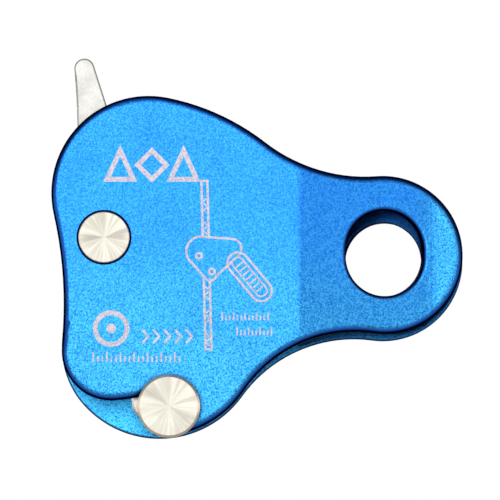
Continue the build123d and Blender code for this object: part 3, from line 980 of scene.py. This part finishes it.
@dataclass
class PlateMarks:
    """The laser marks of the front plate. Places are in millimetres from the cam axle's centre."""

    body: str = "swing_plate"
    finish: LaserMark = LaserMark()
    bold: float = 1.3
    thin: float = 0.62
    hair: float = 0.42
    emblem_centre: Point = (12.7, 19.2)
    emblem_height: float = 8.9
    emblem_step: float = 8.4
    peak_half: float = 3.5
    ring_centre: Point = (1.9, -24.2)
    ring_radius: float = 4.2
    rope_top: Point = (26.6, 15.0)
    rope_bottom: Point = (27.7, -29.7)
    rope_width: float = 2.2
    gap_top: float = 0.0
    gap_bottom: float = -10.9
    lay_pitch: float = 1.25
    lay_half: float = 0.42
    device_centre: Point = (27.2, -5.9)
    device_hole: float = 0.75
    link_offset: Point = (11.4, -4.6)
    link_slope: float = -50.0
    link_size: Point = (15.2, 5.6)
    link_inside: Point = (12.6, 3.0)
    rib_pitch: float = 1.4
    rib_half: float = 1.2
    arrow_start: Point = (10.2, -26.3)
    arrow_count: int = 5
    arrow_pitch: float = 2.9
    arrow_length: float = 1.5
    arrow_half: float = 1.75
    short_tick: float = 0.6

    def __post_init__(self) -> None:
        """Finds the axle's centre and the plate's outer face."""
        self.origin = centre_of("cam_axle")
        self.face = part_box("front_plate")[0].y / MM
        self.material = self.finish.material()

    def at(self, x: float, z: float) -> Point:
        """Returns a place measured from the axle as a place in the part's frame."""
        return self.origin[0] + x, self.origin[1] + z

    def build(self) -> None:
        """Cuts all the marks."""
        self.emblem()
        self.pivot_ring()
        self.rope_diagram()
        self.device_diagram()
        self.code_rows()

    def emblem(self) -> None:
        """A plain row of shapes: a peak, a diamond and a peak."""
        mark = Stencil("laser_emblem", self.face, height=0.02)
        x, z = self.emblem_centre
        half = (self.emblem_height - self.bold) / 2
        low, high = z - half, z + half
        for side in (-1, 1):
            middle = x + side * self.emblem_step
            peak = [(middle - self.peak_half, low), (middle + self.peak_half, low), (middle, high)]
            mark.stroke([self.at(*p) for p in peak], self.bold, closed=True)
        diamond = [(x - half, z), (x, low), (x + half, z), (x, high)]
        mark.stroke([self.at(*p) for p in diamond], self.bold, closed=True)
        mark.finish(self.material, self.body)

    def pivot_ring(self) -> None:
        """A ring round a dot, the usual sign for a pivot."""
        mark = Stencil("laser_pivot_ring", self.face)
        centre = self.at(*self.ring_centre)
        mark.stroke(circle_points(centre, self.ring_radius), self.bold, closed=True)
        mark.solid(circle_points(centre, self.bold, 24))
        mark.finish(self.material, self.body)

    def rope_at(self, z: float, aside: float = 0.0) -> Point:
        """Returns the point of the drawn rope at a height, moved aside from its middle."""
        (top_x, top_z), (low_x, low_z) = self.rope_top, self.rope_bottom
        share = (z - low_z) / (top_z - low_z)
        return self.at(low_x + share * (top_x - low_x) + aside, z)

    def rope_diagram(self) -> None:
        """The rope above and below the device: two edges, closed ends and lay marks between them."""
        mark = Stencil("laser_rope_diagram", self.face, height=0.04)
        half = (self.rope_width - self.thin) / 2
        for end, start in ((self.rope_top[1], self.gap_top), (self.rope_bottom[1], self.gap_bottom)):
            corners = [(-half, start), (-half, end), (half, end), (half, start)]
            mark.stroke([self.rope_at(z, aside) for aside, z in corners], self.thin)
            self.lay_marks(mark, min(start, end), max(start, end))
        mark.finish(self.material, self.body)

    def lay_marks(self, mark: Stencil, low: float, high: float) -> None:
        """Short slanting strokes that stand for the rope's strands.

        Args:
            mark: The mark they go on.
            low: The stretch's lowest place.
            high: The stretch's highest place.
        """
        margin, inset, run, strokes = 1.6, 1.2, 5, 3
        half = self.lay_half
        for index in range(int((high - low - margin) / self.lay_pitch)):
            if index % run >= strokes:
                continue
            z = low + inset + index * self.lay_pitch
            slant = half if index % 2 else -half
            mark.stroke([self.rope_at(z - slant, -half), self.rope_at(z + slant, half)], self.hair)

    def device_diagram(self) -> None:
        """The clamp on the rope and the snap link that hangs from it."""
        mark = Stencil("laser_device_diagram", self.face, height=0.06)
        x, z = self.device_centre
        body = circle_points((x - 1.5, z + 2.2), 3.9, 20, 80.0, 150.0)
        body += circle_points((x + 1.0, z - 3.9), 1.7, 14, 215.0, 130.0)
        body += circle_points((x + 6.6, z + 2.9), 2.6, 14, -40.0, 130.0)
        mark.stroke([self.at(*p) for p in body], self.thin, closed=True)
        for hole in (self.at(x - 2.0, z + 1.0), self.at(x + 1.4, z - 3.2)):
            mark.stroke(circle_points(hole, self.device_hole, 24), self.thin, closed=True)
        link = self.at(x + self.link_offset[0], z + self.link_offset[1])
        mark.stroke(stadium(link, *self.link_size, self.link_slope), self.thin, closed=True)
        mark.stroke(stadium(link, *self.link_inside, self.link_slope), self.hair, closed=True)
        for step in range(-3, 4):
            across = link[0] + step * self.rib_pitch
            rib = [(across, link[1] - self.rib_half), (across, link[1] + self.rib_half)]
            mark.stroke(turned(rib, link, self.link_slope), self.hair)
        mark.finish(self.material, self.body)

    def code_rows(self) -> None:
        """Plain arrows and ruled scales where a maker would put figures."""
        arrows = Stencil("laser_arrow_row", self.face)
        left, middle = self.arrow_start
        for index in range(self.arrow_count):
            x = left + index * self.arrow_pitch
            tip = (x + self.arrow_length, middle)
            arrow = [(x, middle - self.arrow_half), tip, (x, middle + self.arrow_half)]
            arrows.stroke([self.at(*p) for p in arrow], self.thin)
        arrows.finish(self.material, self.body)
        scales = (
            ("laser_scale_long", (-2.8, -33.1), 22.8, 2.6, 19),
            ("laser_scale_upper", (31.3, -22.0), 12.2, 2.1, 12),
            ("laser_scale_lower", (35.3, -26.0), 9.1, 2.1, 9),
        )
        for name, (x, z), length, height, count in scales:
            self.scale(name, x, z, length, height, count)

    def scale(self, name: str, left: float, foot: float, length: float, height: float, count: int) -> None:
        """A ruled scale: upright ticks, with every third one tall.

        Args:
            name: The piece's name.
            left: Its left end.
            foot: Its foot.
            length: Its length.
            height: The tall ticks' height.
            count: How many spaces there are between ticks.
        """
        mark = Stencil(name, self.face)
        for index in range(count + 1):
            x = left + length * index / count
            top = foot + height * (1.0 if index % 3 == 0 else self.short_tick)
            mark.stroke([self.at(x, foot), self.at(x, top)], self.hair)
        mark.finish(self.material, self.body)


@dataclass
class Studio:
    """Pale floor, soft lights and the camera. Distances are in metres."""

    camera_distance: float = 3.5
    view_width: float = 0.1325
    sensor: float = 0.036
    aim_shift: Point = (-0.0019, -0.0007)
    elevation: float = -3.2
    floor_gap: float = 0.045
    floor_reach: float = 0.34
    key_power: float = 1.48
    fill_power: float = 0.85
    low_power: float = 1.45
    top_power: float = 0.42
    card_power: float = 0.7
    rear_power: float = 0.9
    ambient: float = 0.40

    def build(self) -> None:
        """Sets up everything that isn't part of the object."""
        self.middle = (cad_low + cad_high) / 2
        self.floor()
        self.lights()
        self.world()
        self.camera()
        bpy.context.scene.view_settings.view_transform = "Standard"

    def floor(self) -> None:
        """A round pale floor a little below the object."""
        mesh = bmesh.new()
        bmesh.ops.create_circle(mesh, cap_ends=True, segments=96, radius=self.floor_reach)
        data = bpy.data.meshes.new("floor")
        mesh.to_mesh(data)
        mesh.free()
        made = bpy.data.objects.new("floor", data)
        made.location = (self.middle.x, self.middle.y, cad_low.z - self.floor_gap)
        bpy.context.scene.collection.objects.link(made)
        paper = bpy.data.materials.new("pale_floor")
        paper.use_nodes = True
        graph = Graph(paper.node_tree)
        shader = graph.node("BsdfPrincipled")
        graph.tree.links.new(shader.outputs[0], graph.node("OutputMaterial").inputs["Surface"])
        fibres = graph.noise(graph.place(), 2.5, 3.0)
        graph.feed(shader.inputs["Base Color"], graph.blend(fibres, (0.80, 0.80, 0.80), (0.86, 0.86, 0.86)))
        shader.inputs["Roughness"].default_value = 0.9
        data.materials.append(paper)

    def softbox(self, name: str, place: Vector, size: tuple[float, float], radiance: float) -> None:
        """Adds a rectangular light that looks at the object and that the camera doesn't see.

        Args:
            name: The light's name.
            place: Its middle, from the object's middle.
            size: Its width and height.
            radiance: How bright its face is, where 1 is as bright as white.
        """
        data = bpy.data.lights.new(name, "AREA")
        data.shape = "RECTANGLE"
        data.size, data.size_y = size
        data.energy = radiance * math.pi * size[0] * size[1]
        made = bpy.data.objects.new(name, data)
        made.location = self.middle + place
        made.rotation_mode = "QUATERNION"
        made.rotation_quaternion = (-place).to_track_quat("-Z", "Y")
        made.visible_camera = False
        bpy.context.scene.collection.objects.link(made)
        log.info("light %s", name)

    def lights(self) -> None:
        """Key and fill in front, one light low and one above, a card each side, and a fill behind."""
        self.softbox("key", Vector((-0.28, -1.4, 0.12)), (1.2, 1.1), self.key_power)
        self.softbox("fill", Vector((0.85, -1.3, 0.05)), (0.6, 0.9), self.fill_power)
        self.softbox("low", Vector((0.05, -0.6, -0.30)), (0.5, 0.25), self.low_power)
        self.softbox("top", Vector((-0.25, -0.4, 1.2)), (0.8, 0.5), self.top_power)
        self.softbox("left_card", Vector((-1.3, -0.2, 0.0)), (0.9, 0.9), self.card_power)
        self.softbox("right_card", Vector((1.3, -0.2, 0.0)), (0.9, 0.9), self.card_power)
        self.softbox("rear_fill", Vector((-0.5, 1.5, 0.6)), (1.0, 1.0), self.rear_power)

    def world(self) -> None:
        """White where the camera sees past the object, and dim where the metal reflects it."""
        world = bpy.data.worlds.new("studio")
        bpy.context.scene.world = world
        world.use_nodes = True
        graph = Graph(world.node_tree)
        seen = graph.node("LightPath").outputs["Is Camera Ray"]
        background = graph.node("Background")
        dim = self.ambient
        graph.feed(background.inputs["Color"], graph.blend(seen, (dim, dim, dim), (1.0, 1.0, 1.0)))
        graph.tree.links.new(background.outputs[0], graph.node("OutputWorld").inputs["Surface"])

    def camera(self) -> None:
        """A long lens in front of the front plate, looking slightly up at it."""
        data = bpy.data.cameras.new("camera")
        data.sensor_width = self.sensor / MM
        data.lens = data.sensor_width * self.camera_distance / self.view_width
        made = bpy.data.objects.new("camera", data)
        across, up = self.aim_shift
        aim = Vector((self.middle.x + across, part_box("front_plate")[0].y, self.middle.z + up))
        tilt = math.radians(self.elevation)
        made.location = aim + self.camera_distance * Vector((0.0, -math.cos(tilt), math.sin(tilt)))
        made.rotation_euler = (math.pi / 2 - tilt, 0.0, 0.0)
        bpy.context.scene.collection.objects.link(made)
        bpy.context.scene.camera = made


def main() -> None:
    """Builds the sub-assemblies in order, then the studio."""
    logging.basicConfig(level=logging.INFO, format="%(message)s")
    for assembly in (FramePlates(), PinSet(), CamGroup(), PlateMarks(), Studio()):
        log.info("building %s", type(assembly).__name__)
        assembly.build()


if __name__ == "__main__":
    main()
